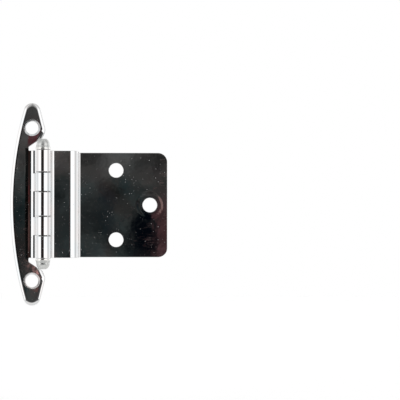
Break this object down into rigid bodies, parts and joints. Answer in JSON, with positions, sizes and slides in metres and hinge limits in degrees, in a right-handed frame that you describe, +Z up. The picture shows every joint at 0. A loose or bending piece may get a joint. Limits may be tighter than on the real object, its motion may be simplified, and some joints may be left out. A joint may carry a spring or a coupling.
{
  "type": "offset cabinet hinge",
  "caption": "Offset hinge for a lipped cabinet door: a crowned, pointed leaf for the face frame and a stepped leaf for the door, joined by a capped pin.",
  "frame": {"origin": "back of the decorative leaf's rim, at the middle of its outer edge, in the plane of the face frame", "axes": "+Z up along the pin, +Y back into the face frame, +X towards the door; the closed hinge as installed"},
  "size_m": [0.0562, 0.0267, 0.0718],
  "materials": {
    "leaf_chrome": "polished",
    "door_chrome": "polished",
    "pin_steel": "plain",
    "tip_nickel": "satin"
  },
  "bodies": {
    "frame_side": {"frame_leaf": "leaf_chrome", "hinge_pin": "pin_steel", "upper_tip": "tip_nickel", "lower_tip": "tip_nickel"},
    "door_side": {"door_leaf": "door_chrome"}
  },
  "joints": [
    {"name": "door_swing", "type": "hinge", "parent": "frame_side", "child": "door_side", "pos_m": [0.01137, -0.0075, 0], "axis": [0, 0, -1], "range_deg": [0, 239]}
  ]
}
